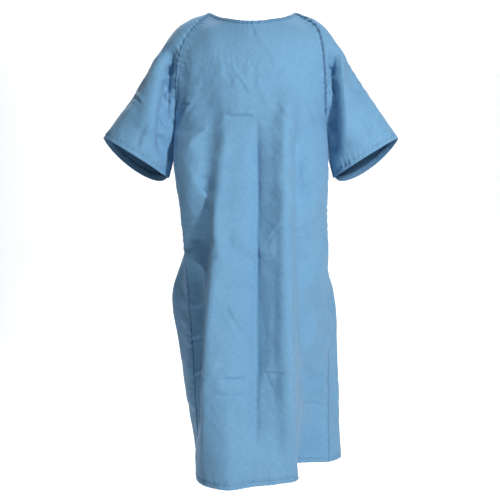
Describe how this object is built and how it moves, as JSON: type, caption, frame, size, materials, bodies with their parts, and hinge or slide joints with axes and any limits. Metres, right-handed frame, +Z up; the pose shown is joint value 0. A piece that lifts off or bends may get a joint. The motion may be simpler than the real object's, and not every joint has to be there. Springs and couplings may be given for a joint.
{
  "type": "patient gown",
  "caption": "Knee-length back-opening patient gown with short raglan sleeves, bound round neck, wide hems and tie closures.",
  "frame": {"origin": "middle of the neck opening at the height of the high shoulder points, where the wearer's shoulders hold the gown up", "axes": "+X towards the wearer's left, -Y the front of the gown, +Z up"},
  "size_m": [0.8114, 0.41, 1.2662],
  "materials": {
    "gown_cloth": "plain-woven poly-cotton, matt",
    "hem_cloth": "doubled poly-cotton, stitched",
    "seam_cloth": "felled seam, double stitched",
    "binding_cloth": "folded binding, stitched",
    "tie_tape": "self-fabric tape"
  },
  "bodies": {
    "gown": {"front_panel": "gown_cloth", "front_hem": "hem_cloth", "neck_binding": "binding_cloth", "neck_tie_knot": "tie_tape", "right_shoulder": "gown_cloth", "right_back_yoke": "gown_cloth", "right_yoke_facing": "hem_cloth", "right_front_raglan_seam": "seam_cloth", "right_back_raglan_seam": "seam_cloth", "right_side_seam": "seam_cloth", "right_neck_tie": "tie_tape", "left_shoulder": "gown_cloth", "left_back_yoke": "gown_cloth", "left_yoke_facing": "hem_cloth", "left_front_raglan_seam": "seam_cloth", "left_back_raglan_seam": "seam_cloth", "left_side_seam": "seam_cloth", "left_neck_tie": "tie_tape"},
    "right_sleeve_body": {"right_sleeve": "gown_cloth", "right_sleeve_hem": "hem_cloth", "right_underarm_seam": "seam_cloth"},
    "right_back_flap": {"right_back_panel": "gown_cloth", "right_back_hem": "hem_cloth", "right_back_facing": "hem_cloth", "right_tie_patch": "tie_tape"},
    "right_tie_body": {"right_waist_tie": "tie_tape"},
    "left_sleeve_body": {"left_sleeve": "gown_cloth", "left_sleeve_hem": "hem_cloth", "left_underarm_seam": "seam_cloth"},
    "left_back_flap": {"left_back_panel": "gown_cloth", "left_back_hem": "hem_cloth", "left_back_facing": "hem_cloth", "left_tie_patch": "tie_tape"},
    "left_tie_body": {"left_waist_tie": "tie_tape"}
  },
  "joints": [
    {"name": "right_sleeve_lift", "type": "hinge", "parent": "gown", "child": "right_sleeve_body", "pos_m": [-0.215, 0, -0.055], "axis": [0, 1, 0], "range_deg": [0, 50]},
    {"name": "right_back_open", "type": "hinge", "parent": "gown", "child": "right_back_flap", "pos_m": [-0.205, 0.015, -0.33], "axis": [-0.0693, -0.016, 0.9975], "range_deg": [0, 60], "stiffness_Nm_per_rad": 0.15},
    {"name": "right_tie_swing", "type": "hinge", "parent": "right_back_flap", "child": "right_tie_body", "pos_m": [-0.0152, 0.14031, -0.5646], "axis": [1, 0, 0], "range_deg": [0, 80]},
    {"name": "left_sleeve_lift", "type": "hinge", "parent": "gown", "child": "left_sleeve_body", "pos_m": [0.215, 0, -0.055], "axis": [0, -1, 0], "range_deg": [0, 50]},
    {"name": "left_back_open", "type": "hinge", "parent": "gown", "child": "left_back_flap", "pos_m": [0.205, 0.015, -0.33], "axis": [0.0243, 0.1429, -0.9894], "range_deg": [0, 60], "stiffness_Nm_per_rad": 0.15},
    {"name": "left_tie_swing", "type": "hinge", "parent": "left_back_flap", "child": "left_tie_body", "pos_m": [0.01512, 0.14055, -0.56457], "axis": [1, 0, 0], "range_deg": [0, 80]}
  ]
}
